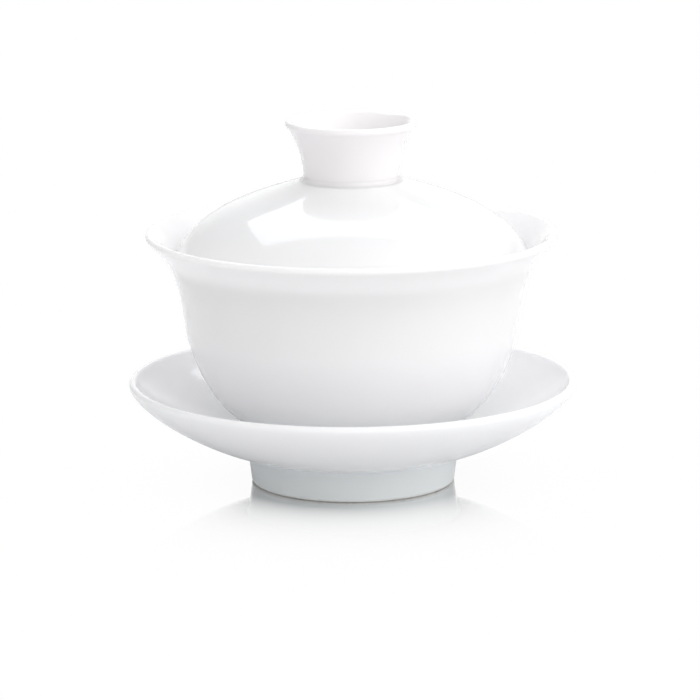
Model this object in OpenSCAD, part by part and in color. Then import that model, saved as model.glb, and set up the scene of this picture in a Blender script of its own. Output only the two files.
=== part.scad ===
// A lidded tea bowl on its saucer: three loose pieces of thin white porcelain.
// The bowl stands in the saucer's well, and the lid's rim rests inside the bowl's flare.
// Each foot ring and the lid's knob is formed apart and luted on at a flat joint.
// Origin: middle of the saucer's foot, on the table. +Z is up, sizes are in millimetres.

/* [Bowl] */
// Diameter over the bowl's lip
bowl_mouth_d = 98; // [90:0.5:120]
// Height of the bowl, from its foot to its lip
bowl_h = 50.4; // [40:0.1:62]
// Diameter at the waist, where the belly becomes the wall
bowl_waist_d = 79.6; // [64:0.2:96]
// Height of the waist above the bowl's foot
bowl_waist_h = 27.9; // [22:0.1:34]
// Slope of the belly where it leaves the foot, above level
bowl_base_slope = 2; // [0:1:8]
// Slope of the wall at the waist, above level
bowl_waist_slope = 83; // [76:1:90]
// Slope of the flare at the lip, above level
bowl_flare = 40; // [30:1:60]
// Thickness of the bowl's lip
bowl_lip = 1.7; // [1.2:0.1:2.4]
// Thickness of the bowl's belly, where it meets the foot
bowl_base = 2.8; // [2:0.1:3.6]
// Diameter over the bowl's foot ring
bowl_foot_d = 43.4; // [36:0.2:52]
// Height of the bowl's foot ring
bowl_foot_h = 3.8; // [3:0.1:5]
// Width of the bowl's foot ring
bowl_foot_w = 2.7; // [2:0.1:3.6]

/* [Lid] */
// Depth of the lid's rim below the bowl's lip
lid_sink = 6.6; // [5:0.1:8]
// Height of the lid, from its rim to the crown under the knob
lid_rise = 19.1; // [15:0.1:23]
// Slope of the dome at the rim, below level
lid_rim_slope = 66; // [55:1:72]
// Slope of the dome at the crown, below level
lid_crown_slope = 19; // [12:1:24]
// Thickness of the lid's rim
lid_lip = 1.8; // [1.4:0.1:2.4]
// Thickness of the lid at its crown
lid_crown = 2.6; // [2:0.1:3.2]
// Rise of the lid's crown inside the knob, above the knob's seat
lid_cap = 1.6; // [0.8:0.1:2]
// Gap all round between the lid's rim and the bowl
lid_play = 0.25; // [0.2:0.05:0.6]

/* [Knob] */
// Diameter of the knob where it stands on the lid
knob_base_d = 22.7; // [18:0.1:28]
// Diameter over the knob's lip
knob_mouth_d = 31.2; // [30:0.1:38]
// Height of the knob
knob_h = 14; // [11:0.1:17]
// Slope of the knob's lip, above level
knob_flare = 48; // [40:1:65]
// Thickness of the knob's lip
knob_lip = 1.7; // [1.3:0.1:2.2]
// Thickness of the knob's wall at its base
knob_base = 2.5; // [1.8:0.1:3.2]

/* [Saucer] */
// Diameter over the saucer's rim
saucer_d = 106.8; // [96:0.2:130]
// Height of the saucer, from its foot to its rim
saucer_h = 24.8; // [20:0.1:30]
// Slope of the saucer at its rim, above level
saucer_rim_slope = 64; // [50:1:75]
// Slope of the saucer where it leaves its foot, above level
saucer_base_slope = 3; // [0:1:12]
// Thickness of the saucer's rim
saucer_lip = 1.9; // [1.4:0.1:2.6]
// Thickness of the saucer beside its foot ring
saucer_base = 3.3; // [2.8:0.1:4]
// Thickness of the saucer's floor under the bowl
saucer_floor = 2.4; // [2:0.1:2.6]
// Height of the saucer's foot ring
saucer_foot_h = 7.7; // [6:0.1:9.5]
// Width of the saucer's foot ring
saucer_foot_w = 3.1; // [2.4:0.1:4]
// How much the saucer's foot ring narrows on its way down, at its outer face
saucer_foot_taper = 0.9; // [0.2:0.1:1.4]
// Gap all round between the bowl's foot and the side of the saucer's well
well_play = 1.5; // [1:0.1:2]
// Width of the soft shoulder round the well
well_shoulder = 1.6; // [1.2:0.1:2.4]

/* [Hidden] */
$fn = 96;

WHITE = [0.97, 0.97, 0.97];
WARM_WHITE = [0.98, 0.97, 0.96];
COOL_WHITE = [0.90, 0.93, 0.95];

// Steps along a long curve, and round a lip or a foot's edge
CURVE_STEPS = 22;
EDGE_STEPS = 8;
// Radius of the worn edges of each foot ring
foot_edge = 0.7;
// How far the saucer's foot ring stands out past the shoulder of the well above it
foot_reach = 0.4;
// Width of the level seat that is left inside and outside the knob's base
seat_land = 0.35;

// How far each curve runs on at its own slope before it bends: from its first end, to its last
belly_pulls = [9.4, 9.4];
flare_pulls = [12.5, 7.2];
dome_pulls = [12, 11];
cap_pulls = [3, 4];
knob_pulls = [6, 2.6];
dish_pulls = [7.4, 6.9];
shoulder_pulls = [0.9, 0.9];

// Heights of the joints and seats, from the table up
seat_z = saucer_foot_h + saucer_floor;
belly_z = seat_z + bowl_foot_h;
waist_z = seat_z + bowl_waist_h;
lip_z = seat_z + bowl_h;
lid_rim_z = lip_z - lid_sink;
crown_z = lid_rim_z + lid_rise;
knob_top_z = crown_z + knob_h;

// Radii that follow from the pieces they fit
bowl_foot_r = bowl_foot_d / 2;
well_r = bowl_foot_r + well_play;
saucer_foot_r = well_r + well_shoulder + foot_reach;
knob_base_r = knob_base_d / 2;

// Every outline below is a list of [radius, height] points.
// Unit vector at an angle above level, turned from +X towards +Z
function toward(angle) = [cos(angle), sin(angle)];

// Control points of a curve that leaves a at one slope and reaches b at another
function curve(a, a_slope, b, b_slope, pulls) =
    [a, a + pulls[0] * toward(a_slope), b - pulls[1] * toward(b_slope), b];

// Point on a curve, and the unit vector that points to its left
function at(c, t) =
    pow(1 - t, 3) * c[0] + 3 * pow(1 - t, 2) * t * c[1] + 3 * (1 - t) * t * t * c[2] + pow(t, 3) * c[3];
function heading(c, t) =
    pow(1 - t, 2) * (c[1] - c[0]) + 2 * (1 - t) * t * (c[2] - c[1]) + t * t * (c[3] - c[2]);
function left(c, t) =
    let (h = heading(c, t))
    [-h[1], h[0]] / norm(h);

// Points along a curve, a list of points without its first one, and one turned round
function along(c, steps) = [for (i = [0 : steps]) at(c, i / steps)];
function rest(points) = [for (i = [1 : len(points) - 1]) points[i]];
function backward(points) = [for (i = [len(points) - 1 : -1 : 0]) points[i]];

// Outer face of a wall along a curve, and its inner face back again.
// The wall's thickness runs evenly from w0 to w1, and the wall lies to the left.
function outer_face(c) = along(c, CURVE_STEPS);
function inner_face(c, w0, w1) = [
    for (i = [CURVE_STEPS : -1 : 0])
        let (t = i / CURVE_STEPS)
        at(c, t) + (w0 + (w1 - w0) * t) * left(c, t)
];

// Arc between two angles about a centre, without its two ends
function arc(centre, r, from, to) = [
    for (i = [1 : EDGE_STEPS - 1]) centre + r * toward(from + (to - from) * i / EDGE_STEPS)
];

// Centre of a round lip that touches a radius and a height
function lip_centre(r, z, lip) = [r - lip / 2, z - lip / 2];

// Radius of an outline at a height, from its [radius, height] points
function radius_at(z, points) = lookup(z, [for (p = points) [p[1], p[0]]]);

// Bowl: a belly curve from the foot to the waist, then the flaring wall from the waist to the lip
bowl_lip_centre = lip_centre(bowl_mouth_d / 2, lip_z, bowl_lip);
bowl_lip_start = bowl_lip_centre + bowl_lip / 2 * toward(bowl_flare - 90);
bowl_waist = [bowl_waist_d / 2, waist_z];
bowl_waist_wall = (bowl_lip + bowl_base) / 2;
belly = curve([bowl_foot_r, belly_z], bowl_base_slope, bowl_waist, bowl_waist_slope, belly_pulls);
flare = curve(bowl_waist, bowl_waist_slope, bowl_lip_start, bowl_flare, flare_pulls);
flare_inside = inner_face(flare, bowl_waist_wall, bowl_lip);
belly_inside = inner_face(belly, bowl_base, bowl_waist_wall);

// Lid: its round rim runs along the inside of the bowl's flare, one gap away from it
lid_reach = lid_play + lid_lip / 2;
lid_seat = inner_face(flare, bowl_waist_wall + lid_reach, bowl_lip + lid_reach);
lid_lip_z = lid_rim_z + lid_lip / 2;
lid_lip_centre = [radius_at(lid_lip_z, lid_seat), lid_lip_z];
lid_lip_end = lid_lip_centre + lid_lip / 2 * toward(90 - lid_rim_slope);
knob_seat_edge = [knob_base_r + seat_land, crown_z];
dome = curve(lid_lip_end, 180 - lid_rim_slope, knob_seat_edge, 180 - lid_crown_slope, dome_pulls);
dome_inside = inner_face(dome, lid_lip, lid_crown);
cap_edge = [knob_base_r - knob_base - seat_land, crown_z];
cap_top = [0, crown_z + lid_cap];
cap_under = [0, crown_z + lid_cap - lid_crown];
cap = curve(cap_edge, 180 - lid_crown_slope, cap_top, 180, cap_pulls);
cap_inside = curve(dome_inside[0], 180 - lid_crown_slope, cap_under, 180, cap_pulls);

// Knob: a ring whose wall flares into a lip
knob_lip_centre = lip_centre(knob_mouth_d / 2, knob_top_z, knob_lip);
knob_lip_start = knob_lip_centre + knob_lip / 2 * toward(knob_flare - 90);
knob_side = curve([knob_base_r, crown_z], 90, knob_lip_start, knob_flare, knob_pulls);

// Saucer: one curve from the foot ring to the rim
saucer_lip_centre = lip_centre(saucer_d / 2, saucer_h, saucer_lip);
saucer_lip_start = saucer_lip_centre + saucer_lip / 2 * toward(saucer_rim_slope - 90);
dish_start = [saucer_foot_r, saucer_foot_h];
dish = curve(dish_start, saucer_base_slope, saucer_lip_start, saucer_rim_slope, dish_pulls);
dish_inside = inner_face(dish, saucer_base, saucer_lip);
shoulder_top = dish_inside[CURVE_STEPS];
shoulder = curve(shoulder_top, 180 + saucer_base_slope, [well_r, seat_z], 180, shoulder_pulls);

// A ring of width w with worn lower edges and a level top, from height z to z + h
module foot_ring(r_top, r_foot, w, z, h) {
    rotate_extrude()
        polygon(concat(
            [[r_top, z + h], [r_foot, z + foot_edge]],
            arc([r_foot - foot_edge, z + foot_edge], foot_edge, 0, -90),
            [[r_foot - foot_edge, z], [r_foot - w + foot_edge, z]],
            arc([r_foot - w + foot_edge, z + foot_edge], foot_edge, -90, -180),
            [[r_foot - w, z + foot_edge], [r_foot - w, z + h]]
        ));
}

module saucer_dish() {
    color(WHITE)
        rotate_extrude()
            polygon(concat(
                [[0, saucer_foot_h]],
                outer_face(dish),
                arc(saucer_lip_centre, saucer_lip / 2, saucer_rim_slope - 90, saucer_rim_slope + 90),
                dish_inside,
                rest(along(shoulder, EDGE_STEPS)),
                [[0, seat_z]]
            ));
}

module saucer_foot_ring() {
    color(COOL_WHITE)
        foot_ring(saucer_foot_r, saucer_foot_r - saucer_foot_taper, saucer_foot_w, 0, saucer_foot_h);
}

module bowl_wall() {
    color(WARM_WHITE)
        rotate_extrude()
            polygon(concat(
                [[0, belly_z]],
                outer_face(belly),
                rest(outer_face(flare)),
                arc(bowl_lip_centre, bowl_lip / 2, bowl_flare - 90, bowl_flare + 90),
                flare_inside,
                rest(belly_inside),
                [[0, belly_inside[CURVE_STEPS][1]]]
            ));
}

module bowl_foot_ring() {
    color(WHITE)
        foot_ring(bowl_foot_r, bowl_foot_r, bowl_foot_w, seat_z, bowl_foot_h);
}

module lid_dome() {
    color(WARM_WHITE)
        rotate_extrude()
            polygon(concat(
                outer_face(dome),
                along(cap, EDGE_STEPS),
                backward(along(cap_inside, EDGE_STEPS)),
                rest(dome_inside),
                arc(lid_lip_centre, lid_lip / 2, -90 - lid_rim_slope, 90 - lid_rim_slope)
            ));
}

module lid_knob() {
    color(WHITE)
        rotate_extrude()
            polygon(concat(
                outer_face(knob_side),
                arc(knob_lip_centre, knob_lip / 2, knob_flare - 90, knob_flare + 90),
                inner_face(knob_side, knob_base, knob_lip)
            ));
}

saucer_dish();
saucer_foot_ring();
bowl_wall();
bowl_foot_ring();
lid_dome();
lid_knob();
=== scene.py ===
# %% [markdown]
# # A lidded tea bowl in white porcelain
#
# The real object is a gaiwan: a saucer, a bowl and a lid, three loose pieces of thin glazed
# porcelain. A potter turns each of them on a wheel, forms the foot rings and the lid's knob
# apart, and lutes them on with slip before the glaze goes over everything.
#
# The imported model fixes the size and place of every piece. This lesson builds the surface that
# shows around it: the same sections turned again with finer lips, soft glazed seams, and a
# porcelain that has a real glaze.

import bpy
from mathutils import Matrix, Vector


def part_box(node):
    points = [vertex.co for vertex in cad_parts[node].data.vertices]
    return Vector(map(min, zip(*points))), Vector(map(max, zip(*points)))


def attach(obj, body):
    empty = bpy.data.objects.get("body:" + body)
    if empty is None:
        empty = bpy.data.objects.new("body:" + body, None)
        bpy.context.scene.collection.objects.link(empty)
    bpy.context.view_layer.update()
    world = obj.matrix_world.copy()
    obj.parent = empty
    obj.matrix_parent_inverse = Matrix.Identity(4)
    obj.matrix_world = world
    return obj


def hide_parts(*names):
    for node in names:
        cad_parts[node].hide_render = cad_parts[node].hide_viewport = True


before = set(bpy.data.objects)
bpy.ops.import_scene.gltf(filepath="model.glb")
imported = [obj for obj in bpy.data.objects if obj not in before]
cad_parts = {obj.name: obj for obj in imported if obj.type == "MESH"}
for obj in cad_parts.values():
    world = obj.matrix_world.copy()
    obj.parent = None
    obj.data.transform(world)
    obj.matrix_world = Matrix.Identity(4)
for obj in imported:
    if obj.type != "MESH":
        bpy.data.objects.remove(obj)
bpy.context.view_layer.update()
print("nodes:", sorted(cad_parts))

# %% [markdown]
# ## Half sections
#
# Everything here is round, so one half section says all there is to say about a piece. A
# section could be typed in again as points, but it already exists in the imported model. Cutting
# a merged copy of a part with a plane through the axis, and throwing both halves away, leaves
# just the outline. A second cut drops the side left of the axis.

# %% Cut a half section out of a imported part
import math

import bmesh
import bpy

MM = 0.001
WELD = 0.001 * MM
STRAIGHT = math.radians(0.2)


def half_section(part):
    """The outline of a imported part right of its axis, as edges in the plane y = 0."""
    section = bmesh.new()
    section.from_mesh(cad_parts[part].data)
    bmesh.ops.remove_doubles(section, verts=section.verts, dist=WELD)
    for normal, clear_outer in (((0, 1, 0), True), ((1, 0, 0), False)):
        bmesh.ops.bisect_plane(
            section,
            geom=section.verts[:] + section.edges[:] + section.faces[:],
            dist=WELD,
            plane_co=(0, 0, 0),
            plane_no=normal,
            clear_inner=True,
            clear_outer=clear_outer,
        )
    bmesh.ops.dissolve_limit(
        section, angle_limit=STRAIGHT, verts=section.verts, edges=section.edges
    )
    return section


sections = {part: half_section(part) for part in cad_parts}
for part, section in sections.items():
    print(part, "has an outline of", len(section.verts), "points")

# %% [markdown]
# ## Soft seams
#
# A luted joint never shows a knife edge. The potter runs a brush of slip along it, and the
# glaze pools there, so the foot ring and the knob melt into the wall they stand on. Booleans
# could fuse the two parts and a bevel could soften the edge, but the parts would stop being
# parts. Here the ring keeps its own mesh and spreads into a thin skirt that lies on its
# neighbour and is rooted a little way inside it. Points that crowd the corner are dissolved, so
# that there is room to round it once the section has been turned.

# %% Spread the end of a ring into a skirt on its neighbour
SKIRT_SINK = 0.012 * MM
SKIRT_ROOT = 0.35 * MM


def surface_height(section, radius, near):
    """Height where an outline crosses a radius, the crossing closest to the height near."""
    heights = []
    for edge in section.edges:
        a, b = (vert.co for vert in edge.verts)
        if min(a.x, b.x) <= radius <= max(a.x, b.x) and abs(b.x - a.x) > WELD:
            heights.append(a.z + (b.z - a.z) * (radius - a.x) / (b.x - a.x))
    return min(heights, key=lambda height: abs(height - near))


def add_skirt(section, neighbour, up, reach):
    """Skirts a ring where it meets a neighbour above (up = 1) or below it (up = -1).
    Returns the joint's height and the radii of its inner and outer corner."""
    joint = up * max(up * vert.co.z for vert in section.verts)
    corners = [vert for vert in section.verts if abs(vert.co.z - joint) < WELD]
    corners.sort(key=lambda vert: vert.co.x)
    section.edges.remove(section.edges.get(corners))
    crowding = [
        vert
        for vert in section.verts
        if vert not in corners and min((vert.co - end.co).length for end in corners) < reach
    ]
    bmesh.ops.dissolve_verts(section, verts=crowding)
    skirt = sorted(
        bmesh.ops.extrude_vert_indiv(section, verts=corners)["verts"],
        key=lambda vert: vert.co.x,
    )
    for side, vert in zip((-1, 1), skirt):
        vert.co.x += side * reach
        vert.co.z = surface_height(neighbour, vert.co.x, joint) + up * SKIRT_SINK
    root = bmesh.ops.extrude_vert_indiv(section, verts=skirt)["verts"]
    for vert in root:
        vert.co.z += up * SKIRT_ROOT
    section.edges.new(root)
    return joint, [vert.co.x for vert in corners]


# Each ring, what it is luted to, whether that lies above (1) or below (-1), and the skirt's reach
SEAMS = {
    "saucer_foot_ring": ("saucer_dish", 1, 0.9 * MM),
    "bowl_foot_ring": ("bowl_wall", 1, 0.9 * MM),
    "lid_knob": ("lid_dome", -1, 1.3 * MM),
}
seams = {}
for part, (neighbour, up, reach) in SEAMS.items():
    joint, radii = add_skirt(sections[part], sections[neighbour], up, reach)
    seams[part] = (joint, radii, reach)
    print(part, "is luted on at", round(joint / MM, 2), "mm up")

# %% [markdown]
# ## Turning
#
# Spin is the wheel: it sweeps the section once round the axis. Long straight stretches are
# divided first, because Subdivision Surface pulls a lone far vertex out of line. Points on the
# axis meet in one spot after the turn, so doubles are merged before the normals are worked out.
# The seams' corners are then found by their radius and height and bevelled into a hollow.

# %% Turn a section into a smooth shell
TURNS = 96
LONGEST_EDGE = 1.6 * MM
SEAM_ROUNDING = 0.8
SEAM_SEGMENTS = 5
CORNER_SLACK = 10 * WELD


def divide_long_edges(section):
    """Splits each long straight edge of an outline into short equal ones."""
    for edge in [e for e in section.edges if e.calc_length() > LONGEST_EDGE]:
        cuts = math.ceil(edge.calc_length() / LONGEST_EDGE) - 1
        bmesh.ops.subdivide_edges(section, edges=[edge], cuts=cuts)


def turn(section):
    """Sweeps an outline once round the Z axis into a closed shell."""
    bmesh.ops.spin(
        section,
        geom=section.verts[:] + section.edges[:],
        cent=(0, 0, 0),
        axis=(0, 0, 1),
        angle=math.tau,
        steps=TURNS,
        use_merge=True,
    )
    bmesh.ops.remove_doubles(section, verts=section.verts, dist=WELD)
    bmesh.ops.recalc_face_normals(section, faces=section.faces)


def round_seam(shell, joint, radii, reach):
    """Rounds the corners where a ring's wall turns into its skirt."""

    def on_corner(vert):
        radius = math.hypot(vert.co.x, vert.co.y)
        near = min(abs(radius - corner) for corner in radii)
        return near < CORNER_SLACK and abs(vert.co.z - joint) < CORNER_SLACK

    edges = [edge for edge in shell.edges if all(on_corner(vert) for vert in edge.verts)]
    bmesh.ops.bevel(
        shell,
        geom=edges,
        offset=SEAM_ROUNDING * reach,
        segments=SEAM_SEGMENTS,
        profile=0.5,
        affect="EDGES",
        material=-1,
    )


def finish_piece(shell, name, part, body):
    """Makes the piece's object, hands it its part's place, and smooths it once."""
    for face in shell.faces:
        face.smooth = True
    mesh = bpy.data.meshes.new(name)
    shell.to_mesh(mesh)
    shell.free()
    piece = bpy.data.objects.new(name, mesh)
    bpy.context.scene.collection.objects.link(piece)
    smoothing = piece.modifiers.new("smoothing", "SUBSURF")
    smoothing.levels = smoothing.render_levels = 1
    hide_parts(part)
    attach(piece, body)
    print(name, "has", len(mesh.polygons), "faces before smoothing")
    return piece


# %% [markdown]
# ### The six pieces
#
# Each piece rides on the body of its part and takes the part's place. The foot rings get a
# finish of their own further on, because their standing edge is bare clay.

# %% Turn the six pieces
# Part: the piece's name, the body that it rides on, and its material slot
PLACES = {
    "saucer_dish": ("saucer_dish_glazed", "saucer", "glazed_porcelain"),
    "saucer_foot_ring": ("saucer_foot_ring_glazed", "saucer", "foot_porcelain"),
    "bowl_wall": ("bowl_wall_glazed", "bowl", "glazed_porcelain"),
    "bowl_foot_ring": ("bowl_foot_ring_glazed", "bowl", "foot_porcelain"),
    "lid_dome": ("lid_dome_glazed", "lid", "glazed_porcelain"),
    "lid_knob": ("lid_knob_glazed", "lid", "glazed_porcelain"),
}
pieces = {}
for part, (name, body, slot) in PLACES.items():
    section = sections[part]
    divide_long_edges(section)
    turn(section)
    if part in seams:
        round_seam(section, *seams[part])
    pieces[part] = finish_piece(section, name, part, body)

# %% [markdown]
# ## Effects that every finish shares
#
# Glazed porcelain looks plain and is not. The wheel leaves faint rings, the glaze settles with
# the skin of an orange, gathers in creases, breaks into the odd pinhole, and stops short of the
# edge that stands on the kiln shelf. Each of those effects is a node group with named inputs and
# outputs, so that every finish can use it with its own values. They read Object coordinates, in
# metres, which keeps each mark at its real size.

# %% Small helpers for node trees
def add_node(tree, kind, inputs=None, **settings):
    """Adds a node, sets it up, and links or sets each named input."""
    made = tree.nodes.new(kind)
    for key, value in settings.items():
        setattr(made, key, value)
    for key, value in (inputs or {}).items():
        if isinstance(value, bpy.types.NodeSocket):
            tree.links.new(value, made.inputs[key])
        else:
            made.inputs[key].default_value = value
    return made


def maths(tree, operation, *values, clamp=False):
    """The output of a Math node with these sockets or numbers going in."""
    return add_node(
        tree, "ShaderNodeMath", dict(enumerate(values)), operation=operation, use_clamp=clamp
    ).outputs[0]


def smooth_step(tree, value, low, high):
    """0 below low, 1 above high, and a soft S between them."""
    return add_node(
        tree,
        "ShaderNodeMapRange",
        {"Value": value, "From Min": low, "From Max": high},
        interpolation_type="SMOOTHSTEP",
    ).outputs["Result"]


def noise(tree, vector, size, detail=2.0, roughness=0.5):
    """Noise from 0 to 1 whose lumps are about size metres across."""
    return add_node(
        tree,
        "ShaderNodeTexNoise",
        {"Vector": vector, "Scale": 1 / size, "Detail": detail, "Roughness": roughness},
    ).outputs["Fac"]


def new_group(name, inputs, outputs):
    """A shader node group with named float inputs and outputs, and its two end nodes."""
    group = bpy.data.node_groups.new(name, "ShaderNodeTree")
    for label, default in inputs.items():
        socket = group.interface.new_socket(label, in_out="INPUT", socket_type="NodeSocketFloat")
        socket.default_value = default
    for label in outputs:
        group.interface.new_socket(label, in_out="OUTPUT", socket_type="NodeSocketFloat")
    print("group", name, "takes", ", ".join(inputs), "and gives", ", ".join(outputs))
    return group, group.nodes.new("NodeGroupInput"), group.nodes.new("NodeGroupOutput")


def place_on_axis(tree):
    """Object coordinates, and the distance from the axis and the height of a point."""
    point = add_node(tree, "ShaderNodeTexCoord").outputs["Object"]
    parts = add_node(tree, "ShaderNodeSeparateXYZ", {"Vector": point})
    x, y, z = (parts.outputs[axis] for axis in "XYZ")
    squares = maths(tree, "ADD", maths(tree, "MULTIPLY", x, x), maths(tree, "MULTIPLY", y, y))
    return point, maths(tree, "SQRT", squares), z, x


# %% [markdown]
# ### Skin of the glaze
#
# Three heights add up. Rings follow the turning, so their noise is stretched round the axis.
# The orange skin is a fine even noise. The slow sag is the form itself, never quite true.

# %% Group: glaze skin
RING_GAP = 2.6 * MM
RING_STRETCH = 0.05
PEEL_SIZE = 1.9 * MM
SAG_SIZE = 26 * MM


def make_glaze_skin():
    group, given, result = new_group(
        "glaze_skin", {"Ring depth": 0.0, "Peel depth": 0.0, "Sag depth": 0.0}, ["Height"]
    )
    point, radius, height, x = place_on_axis(group)
    along = add_node(
        group,
        "ShaderNodeCombineXYZ",
        {"X": radius, "Y": maths(group, "MULTIPLY", x, RING_STRETCH), "Z": height},
    ).outputs[0]
    layers = (
        ("Ring depth", noise(group, along, RING_GAP, 1.0)),
        ("Peel depth", noise(group, point, PEEL_SIZE, 1.0)),
        ("Sag depth", noise(group, point, SAG_SIZE, 0.0)),
    )
    total = 0.0
    for label, value in layers:
        centred = maths(group, "SUBTRACT", value, 0.5)
        total = maths(
            group, "ADD", maths(group, "MULTIPLY", centred, given.outputs[label]), total
        )
    group.links.new(total, result.inputs["Height"])
    return group


glaze_skin = make_glaze_skin()

# %% [markdown]
# ### Pooled glaze
#
# Glaze runs while it is molten and gathers in any hollow. The hollows of this set are all
# rings, so a pool is measured by the distance to a circle, given by its radius and height. A
# little noise in the distance keeps the pool's rim ragged.

# %% Group: glaze pool
RAGGED_SIZE = 9 * MM
RAGGED_SHARE = 0.3


def make_glaze_pool():
    group, given, result = new_group(
        "glaze_pool", {"Seam radius": 0.02, "Seam height": 0.0, "Reach": 0.002}, ["Pool"]
    )
    point, radius, height, _ = place_on_axis(group)
    across = maths(group, "SUBTRACT", radius, given.outputs["Seam radius"])
    up = maths(group, "SUBTRACT", height, given.outputs["Seam height"])
    squares = maths(
        group, "ADD", maths(group, "MULTIPLY", across, across), maths(group, "MULTIPLY", up, up)
    )
    share = maths(
        group, "DIVIDE", maths(group, "SQRT", squares), given.outputs["Reach"], clamp=True
    )
    ragged = maths(group, "MULTIPLY_ADD", noise(group, point, RAGGED_SIZE), RAGGED_SHARE, share)
    near = maths(group, "SUBTRACT", 1.0 + RAGGED_SHARE / 2, ragged, clamp=True)
    group.links.new(smooth_step(group, near, 0.0, 1.0), result.inputs["Pool"])
    return group


glaze_pool = make_glaze_pool()

# %% [markdown]
# ### The wiped edge
#
# A foot would fuse to the kiln shelf if it were glazed, so the potter wipes its edge clean. The
# wipe leaves a line that wanders a little, and the glaze draws back from it in a low bead.

# %% Group: wiped edge
WANDER_SIZE = 7 * MM
LINE_SOFTNESS = 0.05 * MM
BEAD_CREST = 0.12 * MM
BEAD_END = 0.7 * MM


def make_wiped_edge():
    group, given, result = new_group(
        "wiped_edge", {"Line height": 0.001, "Wander": 0.0002}, ["Bare", "Bead"]
    )
    point, _, height, _ = place_on_axis(group)
    wander = maths(group, "SUBTRACT", noise(group, point, WANDER_SIZE, 3.0), 0.5)
    line = maths(
        group,
        "MULTIPLY_ADD",
        wander,
        maths(group, "MULTIPLY", given.outputs["Wander"], 2.0),
        given.outputs["Line height"],
    )
    above = maths(group, "SUBTRACT", height, line)
    glazed = smooth_step(group, above, -LINE_SOFTNESS, LINE_SOFTNESS)
    bare = maths(group, "SUBTRACT", 1.0, glazed)
    rise = smooth_step(group, above, 0.0, BEAD_CREST)
    fall = maths(group, "SUBTRACT", 1.0, smooth_step(group, above, BEAD_CREST, BEAD_END))
    group.links.new(bare, result.inputs["Bare"])
    group.links.new(maths(group, "MULTIPLY", rise, fall), result.inputs["Bead"])
    return group


wiped_edge = make_wiped_edge()

# %% [markdown]
# ### Pinholes and specks
#
# A bubble that bursts late leaves a pinhole, and a grain of iron in the clay a pale tan fleck.
# Voronoi cells scatter both: only cells with a rare random number get one.

# %% Group: kiln marks
# Each mark's name, the size of the cells that it is scattered over, and its own radius
MARKS = (("Pinhole", 2.4 * MM, 0.10 * MM), ("Fleck", 3.7 * MM, 0.14 * MM))
SOLID_CORE = 0.4


def make_kiln_marks():
    group, given, result = new_group("kiln_marks", {"Share": 0.02}, ["Pinhole", "Fleck"])
    point, _, _, _ = place_on_axis(group)
    for label, cell, size in MARKS:
        cells = add_node(group, "ShaderNodeTexVoronoi", {"Vector": point, "Scale": 1 / cell})
        luck = add_node(
            group, "ShaderNodeSeparateColor", {"Color": cells.outputs["Color"]}
        ).outputs["Red"]
        chosen = maths(group, "LESS_THAN", luck, given.outputs["Share"])
        far = maths(group, "MULTIPLY", cells.outputs["Distance"], cell)
        dot = maths(group, "SUBTRACT", 1.0, smooth_step(group, far, SOLID_CORE * size, size))
        group.links.new(maths(group, "MULTIPLY", chosen, dot), result.inputs[label])
    return group


kiln_marks = make_kiln_marks()

# %% [markdown]
# ## Porcelain
#
# Under the glaze the body is white, dense and translucent: light enters a thin lip and leaves it
# again a few millimetres on, which is why the rims glow. Subsurface scattering gives that. The
# glaze itself is the shader's own smooth reflection. One maker function places the groups and
# takes the tints, because pieces from one kiln share a glaze and differ in how it lies; the tints
# that set one piece apart from another are painted light and shade.

# %% Depths, colours and gloss of the porcelain
BARE_CLAY = (0.84, 0.835, 0.82, 1.0)
SCUFFED_CLAY = (0.60, 0.585, 0.565, 1.0)
CLAY_FLECK = (0.62, 0.50, 0.36, 1.0)
FLECK_STRENGTH = 0.45
GLAZE_SKIN = {"Ring depth": 0.005 * MM, "Peel depth": 0.0025 * MM, "Sag depth": 0.04 * MM}
PINHOLE_DEPTH = 0.03 * MM
BEAD_HEIGHT = 0.05 * MM
GRIT_HEIGHT = 0.02 * MM
GRIT_SIZE = 0.25 * MM
SCUFF_SIZE = 3.5 * MM
GLOSS_SIZE = 14 * MM
GLAZE_ROUGHNESS = 0.065
GLAZE_ROUGHNESS_DRIFT = 0.05
CLAY_ROUGHNESS = 0.62
GLAZE_IOR = 1.5
TRANSLUCENCY = 0.8


def set_inputs(node, values):
    """Sets each named input of a node to a number."""
    for label, value in values.items():
        node.inputs[label].default_value = value


def mix_colour(tree, share, a, b):
    """Colour a where share is 0, and b where it is 1."""
    return add_node(
        tree, "ShaderNodeMix", {"Factor": share, 6: a, 7: b}, data_type="RGBA"
    ).outputs[2]


# %% [markdown]
# ### Bare clay on the standing edge
#
# Below the wiped line the clay shows: matt, gritty, and scuffed grey by every table it has stood
# on. It could be a second material on its own faces, but the line would follow the mesh. The
# mask from the wiped edge lets one material change from glaze to clay along a line that wanders.

# %% Add the bare edge to a finish
def add_bare_edge(tree, point, line, colour, gloss, height):
    """The colour, roughness and height of a finish, with bare clay below a height."""
    edge = add_node(tree, "ShaderNodeGroup", node_tree=wiped_edge)
    set_inputs(edge, {"Line height": line})
    bare = edge.outputs["Bare"]
    grain = noise(tree, point, GRIT_SIZE, 4.0, 0.7)
    scuff = smooth_step(tree, noise(tree, point, SCUFF_SIZE, 5.0, 0.7), 0.5, 0.75)
    clay = mix_colour(tree, scuff, BARE_CLAY, SCUFFED_CLAY)
    colour = mix_colour(tree, bare, colour, clay)
    gloss = add_node(
        tree, "ShaderNodeMix", {"Factor": bare, 2: gloss, 3: CLAY_ROUGHNESS}
    ).outputs[0]
    bead = maths(tree, "MULTIPLY", edge.outputs["Bead"], BEAD_HEIGHT)
    grit = maths(tree, "MULTIPLY", maths(tree, "MULTIPLY", grain, bare), GRIT_HEIGHT)
    height = maths(tree, "ADD", height, maths(tree, "ADD", bead, grit))
    return colour, gloss, height


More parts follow.
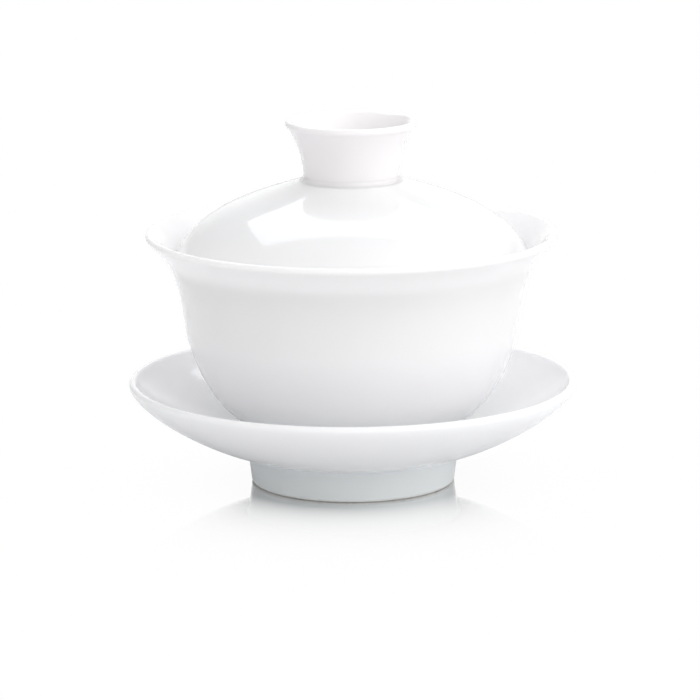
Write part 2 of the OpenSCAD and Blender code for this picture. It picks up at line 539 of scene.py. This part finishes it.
# %% Make a porcelain finish
def porcelain(name, body, depth, pool=None, pools=(), bare_line=None):
    """A porcelain finish. body and pool are colours, depth is how far light wanders under the
    glaze, pools lists (radius, height, reach) in metres where the glaze lies thick, and
    bare_line is the height that the glaze stops at."""
    material = bpy.data.materials.new(name)
    material.use_nodes = True
    tree = material.node_tree

    colour = body
    for radius, level, reach in pools:
        circle = {"Seam radius": radius, "Seam height": level, "Reach": reach}
        place = add_node(tree, "ShaderNodeGroup", node_tree=glaze_pool)
        set_inputs(place, circle)
        colour = mix_colour(tree, place.outputs["Pool"], colour, pool)

    marks = add_node(tree, "ShaderNodeGroup", node_tree=kiln_marks)
    fleck = maths(tree, "MULTIPLY", marks.outputs["Fleck"], FLECK_STRENGTH)
    colour = mix_colour(tree, fleck, colour, CLAY_FLECK)

    skin = add_node(tree, "ShaderNodeGroup", node_tree=glaze_skin)
    set_inputs(skin, GLAZE_SKIN)
    height = maths(
        tree, "MULTIPLY_ADD", marks.outputs["Pinhole"], -PINHOLE_DEPTH, skin.outputs["Height"]
    )

    point = add_node(tree, "ShaderNodeTexCoord").outputs["Object"]
    drift = noise(tree, point, GLOSS_SIZE, 3.0)
    gloss = maths(tree, "MULTIPLY_ADD", drift, GLAZE_ROUGHNESS_DRIFT, GLAZE_ROUGHNESS)
    if bare_line is not None:
        colour, gloss, height = add_bare_edge(tree, point, bare_line, colour, gloss, height)

    bump = add_node(tree, "ShaderNodeBump", {"Strength": 1.0, "Distance": 1.0, "Height": height})
    shader = tree.nodes["Principled BSDF"]
    tree.links.new(colour, shader.inputs["Base Color"])
    tree.links.new(gloss, shader.inputs["Roughness"])
    tree.links.new(bump.outputs["Normal"], shader.inputs["Normal"])
    shader.inputs["IOR"].default_value = GLAZE_IOR
    shader.inputs["Subsurface Weight"].default_value = TRANSLUCENCY
    shader.inputs["Subsurface Radius"].default_value = (1.0, 1.0, 1.0)
    shader.inputs["Subsurface Scale"].default_value = depth
    print("finish", name, "has", len(tree.nodes), "nodes")
    return material


# %% [markdown]
# ### Six finishes
#
# All six share one glaze, and each white has its own faint cast and brightness, which paint in
# light and shade: rose on the bowl and the knob is painted warm light from the front, blue on the
# saucer and the lid is painted cool light from above, and the knob, the lid and the saucer's foot
# ring are a little darker than the rest as painted shade. Green where the glaze lies thick on the
# bowl's belly is the glaze's own tint, made paler than the body as painted bounce light. Light
# wanders furthest in the bowl, which is the largest thin wall. Both foot rings have a bare edge.

# %% Finish the six pieces
SEAM_POOL = 1.6 * MM


def seam_of(part):
    """Where the glaze gathers along both corners of a luted ring."""
    joint, corners, _ = seams[part]
    return [(radius, joint, SEAM_POOL) for radius in reversed(corners)]


# Each piece's white carries painted light and shade: rose is painted warm light from the front,
# blue is painted cool light from above, and the knob, lid and foot whites are darker as painted
# shade, the foot also cooler.
PAINTED_WARM_LIGHT_WHITE = (0.956, 0.914, 0.924, 1.0)
KNOB_PAINTED_SHADE_WHITE = (0.885, 0.868, 0.874, 1.0)
PAINTED_COOL_LIGHT_WHITE = (0.926, 0.940, 0.985, 1.0)
LID_PAINTED_SHADE_WHITE = (0.913, 0.914, 0.930, 1.0)
FOOT_PAINTED_SHADE_WHITE = (0.780, 0.806, 0.806, 1.0)
# The celadon pool is the green of thick glaze, made paler than the bowl's body as painted bounce
# light.
CELADON_POOL_PAINTED_BOUNCE = (0.955, 0.998, 0.915, 1.0)
BLUE_POOL = (0.918, 0.933, 0.975, 1.0)

bowl_joint, (_, bowl_foot_edge), _ = seams["bowl_foot_ring"]
well_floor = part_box("bowl_foot_ring")[0].z
BARE_EDGE = 0.45 * MM
# The wide belly pool spreads thick green glaze and painted bounce light from the saucer up the
# bowl's belly.
BELLY_POOL_AND_PAINTED_BOUNCE = 24 * MM
FOOT_DEPTH, GLAZE_DEPTH, BOWL_DEPTH = 0.8 * MM, 1.2 * MM, 3.0 * MM

finishes = {
    "saucer_dish": porcelain(
        "saucer_glaze", PAINTED_COOL_LIGHT_WHITE, GLAZE_DEPTH, BLUE_POOL, seam_of("saucer_foot_ring")
    ),
    "saucer_foot_ring": porcelain(
        "saucer_foot_glaze",
        FOOT_PAINTED_SHADE_WHITE,
        FOOT_DEPTH,
        BLUE_POOL,
        seam_of("saucer_foot_ring"),
        bare_line=BARE_EDGE,
    ),
    # The bowl's belly pool is thick green glaze and painted bounce light.
    "bowl_wall": porcelain(
        "bowl_glaze",
        PAINTED_WARM_LIGHT_WHITE,
        BOWL_DEPTH,
        CELADON_POOL_PAINTED_BOUNCE,
        [*seam_of("bowl_foot_ring"), (bowl_foot_edge, bowl_joint, BELLY_POOL_AND_PAINTED_BOUNCE)],
    ),
    "bowl_foot_ring": porcelain(
        "bowl_foot_glaze",
        PAINTED_WARM_LIGHT_WHITE,
        GLAZE_DEPTH,
        CELADON_POOL_PAINTED_BOUNCE,
        seam_of("bowl_foot_ring"),
        bare_line=well_floor + BARE_EDGE,
    ),
    "lid_dome": porcelain("lid_glaze", LID_PAINTED_SHADE_WHITE, GLAZE_DEPTH),
    "lid_knob": porcelain("knob_glaze", KNOB_PAINTED_SHADE_WHITE, GLAZE_DEPTH),
}
for part, material in finishes.items():
    pieces[part].data.materials.append(material)

# %% [markdown]
# ## Floor and studio
#
# White porcelain on white needs light that comes from everywhere and still says which way is up.
# The floor is a sheet of white acrylic: pale all over, with a polished patch round the foot that
# holds a reflection and lets it fade further out. Seen directly it is as white as the paper
# behind it. For the light that bounces off it, it is a plain matt white sheet.

# %% Floor
FLOOR_HALF = 4.0
FLOOR_WHITE = (0.85, 0.85, 0.85, 1.0)
POLISH_EDGE = 28.5 * MM
POLISH_FADE = 10 * MM
POLISH_ROUGHNESS = 0.03


def make_floor():
    sheet = bmesh.new()
    bmesh.ops.create_grid(sheet, x_segments=1, y_segments=1, size=FLOOR_HALF)
    mesh = bpy.data.meshes.new("white_floor")
    sheet.to_mesh(mesh)
    sheet.free()
    floor = bpy.data.objects.new("white_floor", mesh)
    bpy.context.scene.collection.objects.link(floor)

    material = bpy.data.materials.new("white_acrylic")
    material.use_nodes = True
    tree = material.node_tree
    tree.nodes.remove(tree.nodes["Principled BSDF"])
    _, radius, _, _ = place_on_axis(tree)
    seen = add_node(tree, "ShaderNodeLightPath").outputs["Is Camera Ray"]
    bounce = add_node(tree, "ShaderNodeBsdfDiffuse", {"Color": FLOOR_WHITE})
    glow = add_node(tree, "ShaderNodeEmission", {"Strength": 1.0})
    shine = add_node(tree, "ShaderNodeBsdfGlossy", {"Roughness": POLISH_ROUGHNESS})
    beyond = maths(tree, "MAXIMUM", maths(tree, "SUBTRACT", radius, POLISH_EDGE), 0.0)
    polish = maths(tree, "EXPONENT", maths(tree, "DIVIDE", beyond, -POLISH_FADE))
    polished = add_node(
        tree,
        "ShaderNodeMixShader",
        {0: polish, 1: glow.outputs[0], 2: shine.outputs[0]},
    )
    mixed = add_node(
        tree, "ShaderNodeMixShader", {0: seen, 1: bounce.outputs[0], 2: polished.outputs[0]}
    )
    tree.links.new(mixed.outputs[0], tree.nodes["Material Output"].inputs["Surface"])
    mesh.materials.append(material)
    print("floor is", 2 * FLOOR_HALF, "m wide")


make_floor()

# %% [markdown]
# ### Softbox
#
# One large softbox hangs above and behind the set. It lights the lid from the back and leaves a
# wide bright window in its glaze. The camera does not see the lamp itself.

# %% Softbox
from mathutils import Quaternion, Vector


def look_at(thing, target, roll=0.0):
    """Turns a camera or a light so that it faces a point, rolled by an angle."""
    back = (thing.location - target).normalized()
    thing.rotation_mode = "QUATERNION"
    thing.rotation_quaternion = back.to_track_quat("Z", "Y") @ Quaternion((0, 0, 1), roll)


def softbox(name, centre, size, target, power, colour):
    """A large soft lamp that the camera itself does not see."""
    lamp = bpy.data.lights.new(name, "AREA")
    lamp.shape = "RECTANGLE"
    lamp.size, lamp.size_y = size
    lamp.energy = power
    lamp.color = colour
    holder = bpy.data.objects.new(name, lamp)
    holder.location = centre
    holder.visible_camera = False
    look_at(holder, Vector(target))
    bpy.context.scene.collection.objects.link(holder)
    print(name, "hangs", round(holder.location.z, 2), "m up")


softbox(
    "overhead_softbox",
    centre=(0.02, 0.27, 0.42),
    size=(0.50, 0.36),
    target=(0.02, 0.27, 0.0),
    power=1.15,
    colour=(0.95, 0.975, 1.0),
)

# %% [markdown]
# ### White room
#
# Everything else is light from the walls of a white room. Area lamps could stand there, but each
# would show its own edge in the glaze. A wash is a soft glow on the world from one direction:
# white paper behind, big windows on the right and in front, and a darker wall on the left, which
# gives the round walls their shape. The camera sees plain white paper.

# %% White room
WIDE, NARROW = 8.0, 30.0
WHITE = (1.0, 1.0, 1.0, 1.0)
# Each wash: azimuth in degrees (0 in front, 90 on the right), elevation, strength, sharpness
WASHES = {
    "strip of paper behind": (180, 9, 0.62, NARROW),
    "paper behind": (180, 9, 0.62, WIDE),
    "beside the camera": (0, 14, 0.34, WIDE),
    "window in front": (22, 38, 0.64, WIDE),
    "front right": (45, 11, 1.16, WIDE),
    "right": (90, 8, 0.78, WIDE),
    "window on the right": (82, 38, 0.63, WIDE),
    "left": (270, 8, 0.62, WIDE),
    "upper left": (262, 38, 0.28, WIDE),
    "front left": (318, 22, 0.39, WIDE),
}


def make_wash():
    """Group: the light of one soft glow, for the direction that is looked in."""
    group = bpy.data.node_groups.new("wash", "ShaderNodeTree")
    for label in ("Looking", "From"):
        group.interface.new_socket(label, in_out="INPUT", socket_type="NodeSocketVector")
    for label in ("Strength", "Sharpness"):
        group.interface.new_socket(label, in_out="INPUT", socket_type="NodeSocketFloat")
    group.interface.new_socket("Light", in_out="OUTPUT", socket_type="NodeSocketFloat")
    given, result = group.nodes.new("NodeGroupInput"), group.nodes.new("NodeGroupOutput")
    facing = add_node(
        group,
        "ShaderNodeVectorMath",
        {0: given.outputs["Looking"], 1: given.outputs["From"]},
        operation="DOT_PRODUCT",
    ).outputs["Value"]
    near = maths(group, "MULTIPLY_ADD", facing, 0.5, 0.5)
    glow = maths(group, "POWER", near, given.outputs["Sharpness"])
    group.links.new(
        maths(group, "MULTIPLY", glow, given.outputs["Strength"]), result.inputs["Light"]
    )
    return group


def make_world():
    world = bpy.data.worlds.new("white_room")
    bpy.context.scene.world = world
    world.use_nodes = True
    tree = world.node_tree
    looking = add_node(tree, "ShaderNodeTexCoord").outputs["Generated"]
    wash, total = make_wash(), 0.0
    for label, (azimuth, elevation, strength, sharpness) in WASHES.items():
        around, up = math.radians(azimuth), math.radians(elevation)
        glow = add_node(tree, "ShaderNodeGroup", node_tree=wash, label=label)
        glow.inputs["From"].default_value = (
            math.sin(around) * math.cos(up),
            -math.cos(around) * math.cos(up),
            math.sin(up),
        )
        glow.inputs["Strength"].default_value = strength
        glow.inputs["Sharpness"].default_value = sharpness
        tree.links.new(looking, glow.inputs["Looking"])
        total = maths(tree, "ADD", glow.outputs["Light"], total)
    room = tree.nodes["Background"]
    room.inputs["Color"].default_value = WHITE
    tree.links.new(total, room.inputs["Strength"])
    paper = add_node(tree, "ShaderNodeBackground", {"Color": WHITE, "Strength": 1.0})
    seen = add_node(tree, "ShaderNodeLightPath").outputs["Is Camera Ray"]
    mixed = add_node(
        tree, "ShaderNodeMixShader", {0: seen, 1: room.outputs[0], 2: paper.outputs[0]}
    )
    tree.links.new(mixed.outputs[0], tree.nodes["World Output"].inputs["Surface"])
    print("room has", len(WASHES), "washes of light")


make_world()

# %% [markdown]
# ## Camera
#
# A long lens a metre away, a little above the table, keeps the set upright and its rims thin.
# The camera aims slightly below the line to the middle of the set, which leaves more room under
# it, where the reflection is.

# %% Camera
CAMERA_DISTANCE = 0.990
CAMERA_ELEVATION = math.radians(11.22)
AIM_HEIGHT = 0.045
AIM_DROP = math.radians(0.7635)
AIM_SIDE = math.radians(-0.034)
CAMERA_ROLL = math.radians(-0.35)
LENS, SENSOR = 214, 36

camera_data = bpy.data.cameras.new("studio_camera")
camera_data.lens = LENS
camera_data.sensor_width = SENSOR
camera = bpy.data.objects.new("studio_camera", camera_data)
bpy.context.scene.collection.objects.link(camera)
camera.location = (
    0.0,
    -CAMERA_DISTANCE * math.cos(CAMERA_ELEVATION),
    AIM_HEIGHT + CAMERA_DISTANCE * math.sin(CAMERA_ELEVATION),
)
pitch = CAMERA_ELEVATION + AIM_DROP
aim = camera.location + Vector(
    (math.sin(AIM_SIDE) * math.cos(pitch), math.cos(AIM_SIDE) * math.cos(pitch), -math.sin(pitch))
)
look_at(camera, aim, CAMERA_ROLL)
bpy.context.scene.camera = camera
bpy.context.scene.view_settings.view_transform = "Standard"
print("camera is", CAMERA_DISTANCE, "m away with a", LENS, "mm lens")
